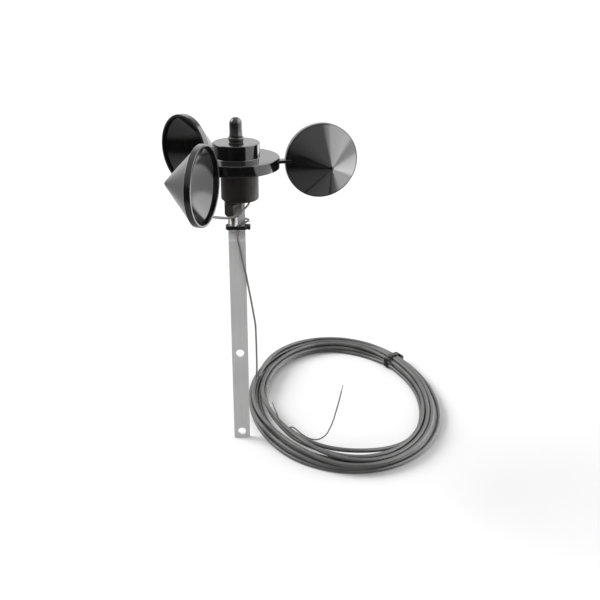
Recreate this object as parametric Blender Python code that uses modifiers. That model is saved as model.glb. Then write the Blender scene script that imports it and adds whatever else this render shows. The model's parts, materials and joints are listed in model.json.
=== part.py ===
"""Three-cup anemometer on a strip bracket, with a reed-switch sensor and a coil of signal cable.

The rotor axis is +Z through the origin, and z = 0 is the plane of the bracket's foot, on which the
coil of cable also lies. +X points to the coil, and -Y is the side from which the bracket's flat shows.
The rotor turns about +Z on a fixed axle.
"""

import math

import bmesh
import bpy
from mathutils import Matrix, Vector

MM = 0.001

# Clearances
GAP = 0.3 * MM  # between pieces that rest on each other
FIT = 0.1 * MM  # around pins and bushes

# Rotor: three cones on a hub
ROTOR_Z = 161.5 * MM  # plane of the cup centres
RING_RADIUS = 44.2 * MM  # rotor axis to a cup's axis
CUP_RADIUS = 19.3 * MM  # outside of the rim
CUP_DEPTH = 20.75 * MM
CUP_SKIRT = 3.0 * MM  # straight band at the rim
CUP_STEP = 0.7 * MM  # the cone starts this far inside the band
CUP_MOUTH = 18.0 * MM  # inside of the band
CUP_TIP_WALL = 1.3 * MM
CUP_FIRST_ANGLE = math.radians(10.75)
CUP_COUNT = 3
ARM_WIDTH = 5.0 * MM
ARM_THICKNESS = 1.6 * MM
ARM_HEIGHT = 1.0 * MM  # above the plane of the cup centres
ARM_INNER = 17.0 * MM
ARM_OUTER = 30.5 * MM

DISC_RADIUS = 21.9 * MM
DISC_BOTTOM = ROTOR_Z - 1.6 * MM
DISC_TOP = ROTOR_Z + 4.05 * MM
HUB_RADIUS = 11.9 * MM
HUB_TOP = ROTOR_Z + 11.45 * MM
HUB_EDGE = 0.35 * MM  # chamfer on the hub's corners

AXLE_RADIUS = 1.98 * MM
BUSH_RADIUS = 3.4 * MM
BUSH_LENGTH = 5.0 * MM
HUB_BORE = 2.6 * MM
MAGNET_RADIUS = 2.4 * MM
MAGNET_LENGTH = 3.0 * MM
MAGNET_ORBIT = 7.0 * MM
MAGNET_ANGLE = math.radians(-80.0)

# Sensor housing under the rotor
HOUSING_X = 1.3 * MM  # its middle stands off the rotor's axis
HOUSING_RADIUS = 9.7 * MM
HOUSING_TOP = DISC_BOTTOM - 0.9 * MM
HOUSING_BOTTOM = 143.6 * MM
HOUSING_EDGE = 0.5 * MM
AXLE_BOTTOM = 150.5 * MM
RECESS_DEPTH = 2.0 * MM  # in the housing's underside, for the bracket's flange
POCKET_X, POCKET_Y = 6.9 * MM, 3.3 * MM
POCKET_RADIUS = 2.5 * MM
POCKET_TOP = 157.6 * MM
REED_TOP = 155.8 * MM
REED_BOTTOM = 148.2 * MM
REED_RADIUS = 1.0 * MM
WIRE_RADIUS = 0.25 * MM
PLUG_HEIGHT = 2.5 * MM

# Retainer and cap at the axle's top
WASHER_THICKNESS = 0.5 * MM
COLLAR_RADIUS = 3.9 * MM
COLLAR_HEIGHT = 1.8 * MM
CAP_RADIUS = 3.2 * MM
CAP_TOP = ROTOR_Z + 23.95 * MM

# Bracket: one strip, a foot at z = 0, a set-back upper leg and a flange under the housing
STRIP_WIDTH = 9.0 * MM
STRIP_THICKNESS = 1.6 * MM
STRIP_X = -0.8 * MM  # middle of the strip
SET_BACK = 4.0 * MM
JOGGLE_BOTTOM = 120.3 * MM
FLANGE_FRONT = -6.0 * MM
BEND_RADIUS = 1.8 * MM
SCREW_HOLE_RADIUS = 2.3 * MM
SCREW_HOLE_HEIGHTS = (4.5 * MM, 54.8 * MM)

# Stud and nut that clamp the flange to the housing
STUD_X, STUD_Y = -2.4 * MM, -3.0 * MM
STUD_RADIUS = 2.08 * MM
STUD_BOTTOM = 129.9 * MM
STUD_TOP = 149.0 * MM
FLANGE_WASHER_RADIUS = 4.4 * MM
FLANGE_WASHER_THICKNESS = 0.7 * MM
NUT_CORNER_RADIUS = 5.04 * MM
NUT_HEIGHT = 5.7 * MM
NUT_COLLAR_RADIUS = 4.0 * MM
NUT_COLLAR_HEIGHT = 1.2 * MM

# Leads and cable
LEAD_RADIUS = 0.55 * MM
CABLE_RADIUS = 1.25 * MM
SLEEVE_RADIUS = 1.6 * MM
CONDUCTOR_RADIUS = 0.4 * MM
COIL_X, COIL_Y = 62.0 * MM, 35.5 * MM
COIL_HALF_X, COIL_HALF_Y = 53.5 * MM, 74.5 * MM
COIL_PITCH = 2.6 * MM  # centre to centre of neighbouring strands
TURNS_PER_LAYER = 3.0
LAYER_CHANGE = 0.25  # turns spent going down to the next layer
COIL_LAYERS = 3
COIL_START = math.radians(160.0)
COIL_END_TURNS = 0.336  # the free end leaves the last layer, inwards and then up
COIL_END_SHIFT = 2.75 * MM
COIL_END_LIFT = 7.75 * MM
COIL_START_TURNS = 0.14  # the first stretch crosses outwards over the top layer and comes down to it
COIL_START_SHIFT = 4.74 * MM
COIL_START_LIFT = 5.0 * MM
COIL_TIE_TURN = 0.6  # radians each side of the tie in which the cable rises over its strap
COIL_STEPS_PER_TURN = 32
COIL_TIE_ANGLE = math.radians(40.0)

# Cable ties
BRACKET_TIE_WIDTH = 1.9 * MM
COIL_TIE_WIDTH = 3.4 * MM
TIE_THICKNESS = 1.0 * MM
TIE_CORNER = 1.2 * MM
TIE_HEIGHT = 127.3 * MM  # middle of the tie round the bracket
BRACKET_TIE_HEAD = (2.2 * MM, 3.6 * MM, 2.6 * MM)  # out from the strap, along it and across it
COIL_TIE_HEAD = (2.4 * MM, 4.0 * MM, 4.8 * MM)
TIE_HEAD_SINK = 0.2 * MM  # into the strap

TURNED_STEPS = 40

parts = None
cutters = None


def clear_scene():
    for obj in list(bpy.data.objects):
        bpy.data.objects.remove(obj, do_unlink=True)


def new_collection(name):
    collection = bpy.data.collections.new(name)
    bpy.context.scene.collection.children.link(collection)
    return collection


def make_material(name, colour, roughness, metallic=0.0):
    material = bpy.data.materials.new(name)
    material.use_nodes = True
    shader = material.node_tree.nodes["Principled BSDF"]
    shader.inputs["Base Color"].default_value = (*colour, 1.0)
    shader.inputs["Roughness"].default_value = roughness
    shader.inputs["Metallic"].default_value = metallic
    return material


def add_object(name, data, material=None, parent=None):
    obj = bpy.data.objects.new(name, data)
    parts.objects.link(obj)
    if material:
        data.materials.append(material)
    obj.parent = parent
    return obj


def mark_as_cutter(obj):
    for collection in list(obj.users_collection):
        collection.objects.unlink(obj)
    cutters.objects.link(obj)
    obj.hide_render = True
    obj.display_type = "WIRE"
    return obj


def add_boolean(obj, tool, operation):
    modifier = obj.modifiers.new(operation.title(), "BOOLEAN")
    modifier.operation = operation
    modifier.solver = "EXACT"
    modifier.object = tool


def turned(name, profile, material, closed=False, parent=None, steps=TURNED_STEPS):
    """A turned piece: a profile of (radius, z) that runs down its outer side."""
    mesh = bpy.data.meshes.new(name)
    points = [(radius, 0.0, z) for radius, z in profile]
    edges = [(i, i + 1) for i in range(len(points) - 1)]
    if closed:
        edges.append((len(points) - 1, 0))
    mesh.from_pydata(points, edges, [])
    obj = add_object(name, mesh, material, parent)
    screw = obj.modifiers.new("Screw", "SCREW")
    screw.axis = "Z"
    screw.steps = steps
    screw.render_steps = steps
    screw.use_merge_vertices = True
    screw.merge_threshold = 0.00001
    screw.use_smooth_shade = True
    return obj


def ring_profile(outer, inner, top, bottom):
    return [(outer, top), (outer, bottom), (inner, bottom), (inner, top)]


def cylinder_cutter(name, radius, centre, length, axis="Z"):
    turn = {"Z": (0, 0, 0), "Y": (math.pi / 2, 0, 0)}[axis]
    bpy.ops.mesh.primitive_cylinder_add(
        vertices=32, radius=radius, depth=length, location=centre, rotation=turn
    )
    obj = bpy.context.active_object
    obj.name = name
    return mark_as_cutter(obj)


def box_cutter(name, low, high):
    """A box between two corners, kept as a tool for a Boolean."""
    centre = (Vector(low) + Vector(high)) / 2
    size = Vector(high) - Vector(low)
    mesh = bpy.data.meshes.new(name)
    bm = bmesh.new()
    bmesh.ops.create_cube(bm, size=1.0, matrix=Matrix.Translation(centre) @ Matrix.Diagonal((*size, 1.0)))
    bm.to_mesh(mesh)
    bm.free()
    obj = bpy.data.objects.new(name, mesh)
    parts.objects.link(obj)
    return mark_as_cutter(obj)


def smooth_path(points, divisions=4):
    """A Catmull-Rom curve through the points, as a polyline."""
    knots = [Vector(p) for p in points]
    knots = [2 * knots[0] - knots[1], *knots, 2 * knots[-1] - knots[-2]]
    path = []
    for before, start, end, after in zip(knots, knots[1:], knots[2:], knots[3:]):
        for i in range(divisions):
            t = i / divisions
            path.append(
                0.5
                * (
                    2 * start
                    + (end - before) * t
                    + (2 * before - 5 * start + 4 * end - after) * t**2
                    + (3 * start - before - 3 * end + after) * t**3
                )
            )
    path.append(knots[-2])
    return path


def tube(name, path, radius, material, resolution=2):
    curve = bpy.data.curves.new(name, "CURVE")
    curve.dimensions = "3D"
    curve.bevel_depth = radius
    curve.bevel_resolution = resolution
    curve.use_fill_caps = True
    spline = curve.splines.new("POLY")
    spline.points.add(len(path) - 1)
    for point, place in zip(spline.points, path):
        point.co = (*place, 1.0)
    return add_object(name, curve, material)


def ribbon(name, path, across, thickness, material, loop=False):
    """A strip of sheet: a path swept along the vector across, with Solidify about its middle."""
    half = Vector(across) / 2
    bm = bmesh.new()
    rows = [(bm.verts.new(Vector(p) - half), bm.verts.new(Vector(p) + half)) for p in path]
    pairs = list(zip(rows, rows[1:]))
    if loop:
        pairs.append((rows[-1], rows[0]))
    for first, second in pairs:
        bm.faces.new((first[0], second[0], second[1], first[1]))
    mesh = bpy.data.meshes.new(name)
    bm.to_mesh(mesh)
    bm.free()
    obj = add_object(name, mesh, material)
    solidify = obj.modifiers.new("Solidify", "SOLIDIFY")
    solidify.thickness = thickness
    solidify.offset = 0.0
    solidify.use_even_offset = True
    return obj


def filleted(corners, radius, segments=4, loop=False):
    """A 2D polyline with each inner corner replaced by an arc."""
    count = len(corners)
    result = []
    for i, corner in enumerate(corners):
        if not loop and i in (0, count - 1):
            result.append(Vector(corner))
            continue
        here = Vector(corner)
        back = (Vector(corners[i - 1]) - here).normalized()
        ahead = (Vector(corners[(i + 1) % count]) - here).normalized()
        half_angle = back.angle(ahead) / 2
        centre = here + (back + ahead).normalized() * (radius / math.sin(half_angle))
        first = here + back * (radius / math.tan(half_angle)) - centre
        last = here + ahead * (radius / math.tan(half_angle)) - centre
        sweep = first.angle_signed(last)
        for step in range(segments + 1):
            turn = Matrix.Rotation(-sweep * step / segments, 2)
            result.append(centre + turn @ first)
    return result


def smoothstep(t):
    t = min(max(t, 0.0), 1.0)
    return t * t * (3 - 2 * t)


# ---------------------------------------------------------------- rotor


def build_hub(material, rotor):
    top = HUB_TOP - ROTOR_Z
    shoulder = DISC_TOP - ROTOR_Z
    bottom = DISC_BOTTOM - ROTOR_Z
    bore = BUSH_RADIUS + FIT
    profile = [
        (bore, top),
        (HUB_RADIUS - HUB_EDGE, top),
        (HUB_RADIUS, top - HUB_EDGE),
        (HUB_RADIUS, shoulder),
        (DISC_RADIUS - HUB_EDGE, shoulder),
        (DISC_RADIUS, shoulder - HUB_EDGE),
        (DISC_RADIUS, bottom + HUB_EDGE),
        (DISC_RADIUS - HUB_EDGE, bottom),
        (bore, bottom),
        (bore, bottom + BUSH_LENGTH + FIT),
        (HUB_BORE, bottom + BUSH_LENGTH + FIT),
        (HUB_BORE, top - BUSH_LENGTH - FIT),
        (bore, top - BUSH_LENGTH - FIT),
    ]
    hub = turned("rotor_hub", profile, material, closed=True, parent=rotor, steps=48)
    for i in range(CUP_COUNT):
        slot = box_cutter(
            f"arm_slot_{i}",
            (ARM_INNER - GAP, -ARM_WIDTH - 2 * GAP, ARM_HEIGHT - ARM_THICKNESS / 2 - GAP),
            (DISC_RADIUS + 2 * MM, 0.0, ARM_HEIGHT + ARM_THICKNESS / 2 + GAP),
        )
        slot.parent = rotor
        slot.rotation_euler.z = cup_angle(i)
        add_boolean(hub, slot, "DIFFERENCE")
    depth = 2 * (MAGNET_LENGTH + 2 * GAP)
    pocket = cylinder_cutter("magnet_pocket", MAGNET_RADIUS + GAP, magnet_place(bottom), depth)
    pocket.parent = rotor
    add_boolean(hub, pocket, "DIFFERENCE")


def cup_angle(i):
    return CUP_FIRST_ANGLE + i * 2 * math.pi / CUP_COUNT


def magnet_place(z):
    return (MAGNET_ORBIT * math.cos(MAGNET_ANGLE), MAGNET_ORBIT * math.sin(MAGNET_ANGLE), z)


def cup_mesh(material):
    """One cup with its arm, about the rotor axis, with the cup's centre on +X and its mouth to +Y."""
    edge = 0.3 * MM
    outer = [
        (0.0, 0.0),
        (CUP_RADIUS - edge, 0.0),
        (CUP_RADIUS, -edge),
        (CUP_RADIUS, -CUP_SKIRT),
        (CUP_RADIUS - CUP_STEP, -CUP_SKIRT - CUP_STEP / 2),
        (1.6 * MM, -CUP_DEPTH + 1.2 * MM),
        (0.8 * MM, -CUP_DEPTH + 0.25 * MM),
        (0.0, -CUP_DEPTH),
    ]
    template = turned("cup_template", outer, material)
    inner = [(0.0, MM), (CUP_MOUTH, MM), (CUP_MOUTH, edge - CUP_SKIRT), (0.0, CUP_TIP_WALL - CUP_DEPTH)]
    hollow = mark_as_cutter(turned("cup_hollow", inner, material))
    for piece in (template, hollow):
        piece.location = (RING_RADIUS, 0.0, 0.0)
        piece.rotation_euler.x = -math.pi / 2
    arm = box_cutter(
        "cup_arm",
        (ARM_INNER, -ARM_WIDTH - GAP, ARM_HEIGHT - ARM_THICKNESS / 2),
        (ARM_OUTER, -GAP, ARM_HEIGHT + ARM_THICKNESS / 2),
    )
    add_boolean(template, arm, "UNION")
    add_boolean(template, hollow, "DIFFERENCE")
    bpy.context.view_layer.update()
    evaluated = template.evaluated_get(bpy.context.evaluated_depsgraph_get())
    mesh = bpy.data.meshes.new_from_object(evaluated)
    mesh.transform(template.matrix_world)
    mesh.name = "cup"
    for tool in (template, hollow, arm):
        bpy.data.objects.remove(tool, do_unlink=True)
    return mesh


def build_rotor(materials):
    rotor = bpy.data.objects.new("rotor_axis", None)
    parts.objects.link(rotor)
    rotor.location.z = ROTOR_Z
    build_hub(materials["rotor_plastic"], rotor)
    mesh = cup_mesh(materials["rotor_plastic"])
    for i, letter in enumerate("abc"):
        cup = add_object(f"cup_{letter}", mesh, parent=rotor)
        cup.rotation_euler.z = cup_angle(i)
    lower = DISC_BOTTOM - ROTOR_Z
    upper = HUB_TOP - ROTOR_Z - BUSH_LENGTH
    for name, bottom in (("lower_bush", lower), ("upper_bush", upper)):
        profile = ring_profile(BUSH_RADIUS, AXLE_RADIUS + FIT, bottom + BUSH_LENGTH, bottom)
        turned(name, profile, materials["bush_plastic"], closed=True, parent=rotor)
    bottom = lower + GAP
    profile = [(0.0, bottom + MAGNET_LENGTH), (MAGNET_RADIUS, bottom + MAGNET_LENGTH)]
    profile += [(MAGNET_RADIUS, bottom), (0.0, bottom)]
    magnet = turned("sensor_magnet", profile, materials["magnet"], parent=rotor, steps=24)
    magnet.location = magnet_place(0.0)


# ---------------------------------------------------------------- axle and housing


def build_axle(materials):
    washer_bottom = HOUSING_TOP + 0.2 * MM
    washer = ring_profile(3.3 * MM, AXLE_RADIUS + FIT, washer_bottom + WASHER_THICKNESS, washer_bottom)
    turned("thrust_washer", washer, materials["bush_plastic"], closed=True)
    washer_bottom = HUB_TOP + 0.2 * MM
    washer_top = washer_bottom + WASHER_THICKNESS
    washer = ring_profile(3.6 * MM, AXLE_RADIUS + FIT, washer_top, washer_bottom)
    turned("top_washer", washer, materials["tie_nylon"], closed=True)
    collar_bottom = washer_top + 0.2 * MM
    collar_top = collar_bottom + COLLAR_HEIGHT
    edge = 0.3 * MM
    collar = [
        (COLLAR_RADIUS - edge, collar_top),
        (COLLAR_RADIUS, collar_top - edge),
        (COLLAR_RADIUS, collar_bottom),
        (AXLE_RADIUS + FIT, collar_bottom),
        (AXLE_RADIUS + FIT, collar_top),
    ]
    turned("retaining_collar", collar, materials["black_steel"], closed=True)
    axle_top = CAP_TOP - 2.6 * MM
    axle = [
        (0.0, axle_top),
        (AXLE_RADIUS - edge, axle_top),
        (AXLE_RADIUS, axle_top - edge),
        (AXLE_RADIUS, AXLE_BOTTOM),
        (0.0, AXLE_BOTTOM),
    ]
    turned("axle", axle, materials["stainless"], steps=32)
    build_cap(collar_top + GAP, axle_top, materials["vinyl"])


def build_cap(bottom, axle_top, material):
    """A push-on cap with a domed end over the axle."""
    dome_steps = 6
    inside = AXLE_RADIUS + 2 * FIT
    outer = []
    for i in range(dome_steps + 1):
        angle = math.pi / 2 * (1 - i / dome_steps)
        outer.append((CAP_RADIUS * math.cos(angle), CAP_TOP - CAP_RADIUS * (1 - math.sin(angle))))
    outer[0] = (0.0, CAP_TOP)
    profile = [*outer, (CAP_RADIUS, bottom), (inside, bottom), (inside, axle_top + GAP), (0.0, axle_top + GAP)]
    turned("end_cap", profile, material, steps=32)


def build_housing(materials):
    profile = [
        (0.0, HOUSING_TOP),
        (HOUSING_RADIUS - HOUSING_EDGE, HOUSING_TOP),
        (HOUSING_RADIUS, HOUSING_TOP - HOUSING_EDGE),
        (HOUSING_RADIUS, HOUSING_BOTTOM + HOUSING_EDGE),
        (HOUSING_RADIUS - HOUSING_EDGE, HOUSING_BOTTOM),
        (0.0, HOUSING_BOTTOM),
    ]
    housing = turned("sensor_housing", profile, materials["housing_plastic"], steps=48)
    housing.location.x = HOUSING_X
    depth = 2 * (HOUSING_TOP - AXLE_BOTTOM + GAP)
    bore = cylinder_cutter("axle_bore", AXLE_RADIUS + FIT, (0.0, 0.0, HOUSING_TOP), depth)
    depth = 2 * (POCKET_TOP - HOUSING_BOTTOM)
    pocket = cylinder_cutter("reed_pocket", POCKET_RADIUS, (POCKET_X, POCKET_Y, HOUSING_BOTTOM), depth)
    depth = 2 * (STUD_TOP + GAP - HOUSING_BOTTOM)
    hole = cylinder_cutter("stud_hole", STUD_RADIUS + FIT, (STUD_X, STUD_Y, HOUSING_BOTTOM), depth)
    half_width = STRIP_WIDTH / 2 + GAP
    recess = box_cutter(
        "flange_recess",
        (STRIP_X - half_width, FLANGE_FRONT - GAP, HOUSING_BOTTOM - RECESS_DEPTH),
        (STRIP_X + half_width, SET_BACK + STRIP_THICKNESS / 2 + GAP, HOUSING_BOTTOM + RECESS_DEPTH),
    )
    for tool in (bore, pocket, hole, recess):
        add_boolean(housing, tool, "DIFFERENCE")


def build_sensor(materials):
    """The reed switch and its wires stand in the housing's pocket, which a plug closes."""
    reed_x = POCKET_X - 0.9 * MM
    wire_x = POCKET_X + 0.9 * MM
    top, bottom, radius = REED_TOP, REED_BOTTOM, REED_RADIUS
    profile = [
        (0.0, top),
        (0.6 * radius, top - 0.2 * radius),
        (radius, top - radius),
        (radius, bottom + radius),
        (0.6 * radius, bottom + 0.2 * radius),
        (0.0, bottom),
    ]
    reed = turned("reed_switch", profile, materials["glass"], steps=20)
    reed.location = (reed_x, POCKET_Y, 0.0)
    over = top + 1.2 * MM
    upper = filleted([(reed_x, top + GAP), (reed_x, over), (wire_x, over), (wire_x, bottom)], 0.6 * MM)
    tube("reed_wire_upper", [(x, POCKET_Y, z) for x, z in upper], WIRE_RADIUS, materials["copper"], 1)
    lower = [(reed_x, POCKET_Y, bottom - GAP), (reed_x, POCKET_Y, bottom - 1.2 * MM)]
    tube("reed_wire_lower", lower, WIRE_RADIUS, materials["copper"], 1)
    plug_bottom = HOUSING_BOTTOM + GAP
    plug_top = plug_bottom + PLUG_HEIGHT
    plug_radius = POCKET_RADIUS - GAP
    profile = [(0.0, plug_top), (plug_radius, plug_top), (plug_radius, plug_bottom), (0.0, plug_bottom)]
    plug = turned("pocket_plug", profile, materials["potting"], steps=24)
    plug.location = (POCKET_X, POCKET_Y, 0.0)
    hole = cylinder_cutter("lead_hole", LEAD_RADIUS + GAP, lead_exit(plug_bottom), 8 * MM)
    add_boolean(plug, hole, "DIFFERENCE")


# ---------------------------------------------------------------- bracket and its fasteners


def build_bracket(material):
    flange_z = HOUSING_BOTTOM + RECESS_DEPTH - GAP - STRIP_THICKNESS / 2
    corners = [
        (0.0, 0.0),
        (0.0, JOGGLE_BOTTOM),
        (SET_BACK, JOGGLE_BOTTOM + SET_BACK),
        (SET_BACK, flange_z),
        (FLANGE_FRONT, flange_z),
    ]
    path = [(STRIP_X, y, z) for y, z in filleted(corners, BEND_RADIUS)]
    bracket = ribbon("mounting_bracket", path, (STRIP_WIDTH, 0.0, 0.0), STRIP_THICKNESS, material)
    for i, height in enumerate(SCREW_HOLE_HEIGHTS):
        hole = cylinder_cutter(f"screw_hole_{i}", SCREW_HOLE_RADIUS, (STRIP_X, 0.0, height), 10 * MM, "Y")
        add_boolean(bracket, hole, "DIFFERENCE")
    hole = cylinder_cutter("flange_hole", STUD_RADIUS + GAP, (STUD_X, STUD_Y, flange_z), 6 * MM)
    add_boolean(bracket, hole, "DIFFERENCE")


def build_fasteners(materials):
    edge = 0.3 * MM
    stud = [
        (0.0, STUD_TOP),
        (STUD_RADIUS, STUD_TOP),
        (STUD_RADIUS, STUD_BOTTOM + edge),
        (STUD_RADIUS - edge, STUD_BOTTOM),
        (0.0, STUD_BOTTOM),
    ]
    turned("flange_stud", stud, materials["stainless"], steps=32).location = (STUD_X, STUD_Y, 0.0)
    washer_top = HOUSING_BOTTOM - GAP
    washer_bottom = washer_top - FLANGE_WASHER_THICKNESS
    washer = ring_profile(FLANGE_WASHER_RADIUS, STUD_RADIUS + GAP, washer_top, washer_bottom)
    obj = turned("flange_washer", washer, materials["black_steel"], closed=True)
    obj.location = (STUD_X, STUD_Y, 0.0)
    build_nut(washer_bottom - GAP, materials["black_steel"])


def build_nut(top, material):
    """A lock nut: a hexagon with a round collar below it, bored for the stud."""
    bm = bmesh.new()
    middle = top - NUT_HEIGHT / 2
    bmesh.ops.create_cone(
        bm,
        cap_ends=True,
        segments=6,
        radius1=NUT_CORNER_RADIUS,
        radius2=NUT_CORNER_RADIUS,
        depth=NUT_HEIGHT,
        matrix=Matrix.Translation((0.0, 0.0, middle)),
    )
    mesh = bpy.data.meshes.new("flange_nut")
    bm.to_mesh(mesh)
    bm.free()
    nut = add_object("flange_nut", mesh, material)
    nut.location = (STUD_X, STUD_Y, 0.0)
    bottom = top - NUT_HEIGHT
    overlap = 0.5 * MM
    centre = (STUD_X, STUD_Y, bottom - (NUT_COLLAR_HEIGHT - overlap) / 2)
    collar = cylinder_cutter("nut_collar", NUT_COLLAR_RADIUS, centre, NUT_COLLAR_HEIGHT + overlap)
    bore = cylinder_cutter("nut_bore", STUD_RADIUS + GAP, (STUD_X, STUD_Y, middle), 4 * NUT_HEIGHT)
    add_boolean(nut, collar, "UNION")
    add_boolean(nut, bore, "DIFFERENCE")


# ---------------------------------------------------------------- lead, cable and ties


def lead_exit(z):
    return (POCKET_X - 1.0 * MM, POCKET_Y, z)


def build_lead(material):
    """The thin lead leaves the housing, loops round the neck, passes the tie and runs down to the coil."""
    exit_x, exit_y = lead_exit(0.0)[:2]
    neck = [(exit_x, exit_y, height * MM) for height in (146.7, 145.5, 144.2, 143.2)]
    loop = [
        (6.1, 1.8, 141.8),
        (5.7, -1.8, 141.2),
        (4.6, -5.2, 140.7),
        (2.6, -8.3, 139.8),
        (-1.0, -9.7, 137.2),
        (-5.1, -8.4, 135.7),
        (-10.3, -4.0, 134.6),
        (-13.0, 0.5, 133.6),
        (-11.5, 5.2, 132.2),
        (-6.0, 7.2, 131.0),
        (0.5, 6.9, 130.8),
        (4.8, 5.4, 130.8),
        (5.4, 2.8, 130.6),
        (2.8, 1.9, 129.8),
        (0.9, 2.1, 128.6),
        (0.1, 2.2, 126.6),
        (-0.3, 1.2, 124.3),
        (-0.5, -0.8, 122.5),
        (-0.2, -1.8, 120.6),
    ]
    run = [
        (0.6, -1.9, 117.0),
        (2.0, -2.0, 109.4),
        (3.5, -1.9, 102.0),
        (4.9, -1.5, 93.1),
        (6.0, 0.0, 86.0),
        (7.1, 3.0, 77.5),
        (8.2, 8.0, 67.9),
        (8.6, 16.0, 54.7),
        (8.9, 26.0, 42.0),
        (9.2, 37.0, 28.6),
        (9.2, 44.5, 19.0),
    ]
    points = neck + [tuple(MM * value for value in point) for point in loop + run]
    tube("sensor_lead", smooth_path(points + sleeve_path()[:2], 3), LEAD_RADIUS, material)


def coil_point(turn):
    """The cable's centre after a number of turns, wound clockwise, layer under layer."""
    span = TURNS_PER_LAYER + LAYER_CHANGE
    layer = min(int(turn / span), COIL_LAYERS - 1)
    inside_layer = turn - layer * span
    half_width = TURNS_PER_LAYER * COIL_PITCH / 2
    drift = half_width - COIL_PITCH * min(inside_layer, TURNS_PER_LAYER)
    offset = drift if layer % 2 == 0 else -drift
    base = CABLE_RADIUS + (COIL_LAYERS - 1 - layer) * COIL_PITCH
    change = (inside_layer - TURNS_PER_LAYER) / LAYER_CHANGE
    if layer < COIL_LAYERS - 1:
        base -= COIL_PITCH * smoothstep(change)
    else:
        end = (inside_layer - TURNS_PER_LAYER) / COIL_END_TURNS
        offset -= COIL_END_SHIFT * smoothstep(end * 2.2)
        base += COIL_END_LIFT * smoothstep((end - 0.2) / 0.8)
    start = turn / COIL_START_TURNS
    offset -= COIL_START_SHIFT * (1 - smoothstep(start / 0.6))
    base += COIL_START_LIFT * (1 - smoothstep(start))
    angle = COIL_START - 2 * math.pi * turn
    away = math.remainder(angle - COIL_TIE_ANGLE, 2 * math.pi)
    base += (TIE_THICKNESS + GAP) * (1 - smoothstep(abs(away) / COIL_TIE_TURN))
    x = COIL_X + (COIL_HALF_X + offset) * math.cos(angle)
    y = COIL_Y + (COIL_HALF_Y + offset) * math.sin(angle)
    return Vector((x, y, base))


def coil_turns():
    return COIL_LAYERS * TURNS_PER_LAYER + (COIL_LAYERS - 1) * LAYER_CHANGE + COIL_END_TURNS


def sleeve_path():
    """The end of the lead, then the splice sleeve, in line with the start of the coiled cable."""
    start = coil_point(0.0)
    heading = (start - coil_point(1 / COIL_STEPS_PER_TURN)).normalized()
    return [start + heading * length * MM for length in (12.0, 9.4, 9.0, 6.0, 3.0, 0.3)]


def build_cable(materials):
    total = coil_turns()
    count = round(total * COIL_STEPS_PER_TURN)
    path = [coil_point(total * i / count) for i in range(count + 1)]
    tube("coiled_cable", path, CABLE_RADIUS, materials["cable_jacket"])
    tube("splice_sleeve", sleeve_path()[2:], SLEEVE_RADIUS, materials["heat_shrink"])
    end = path[-1]
    heading = (path[-1] - path[-2]).normalized()
    side = Vector((-heading.y, heading.x, 0.0)) * 0.7 * MM
    tip = end + heading * GAP
    long_points = [tip - side, tip - side + heading * 1.6 * MM]
    long_run = [
        (29.0, -7.6, 10.6),
        (33.5, -11.0, 9.4),
        (38.7, -12.6, 8.2),
        (42.6, -12.4, 7.4),
        (46.7, -10.5, 7.8),
        (49.3, -8.0, 9.4),
        (51.6, -5.5, 12.0),
        (53.9, -2.0, 17.3),
        (55.8, 1.0, 22.0),
        (57.2, 3.5, 26.1),
        (58.2, 5.0, 29.4),
    ]
    long_points += [tuple(MM * value for value in point) for point in long_run]
    tube("conductor_long", smooth_path(long_points, 3), CONDUCTOR_RADIUS, materials["tinned_wire"], 1)
    short_run = [(20.4, -4.4, 14.0), (19.4, -3.0, 16.4), (18.0, -1.0, 19.2), (16.8, 1.0, 22.1)]
    short_points = [tip + side, tip + side + heading * 1.6 * MM]
    short_points += [tuple(MM * value for value in point) for point in short_run]
    tube("conductor_short", smooth_path(short_points, 3), CONDUCTOR_RADIUS, materials["tinned_wire"], 1)


def build_tie(name, corners, width, head_low, head_high, material):
    """A cable tie in its own frame: a strap round the corners in XY, with its head as a box."""
    loop = [(p.x, p.y, 0.0) for p in filleted(corners, TIE_CORNER, loop=True)]
    tie = ribbon(name, loop, (0.0, 0.0, width), TIE_THICKNESS, material, loop=True)
    head = box_cutter(f"{name}_head", head_low, head_high)
    head.parent = tie
    add_boolean(tie, head, "UNION")
    return tie


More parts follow.
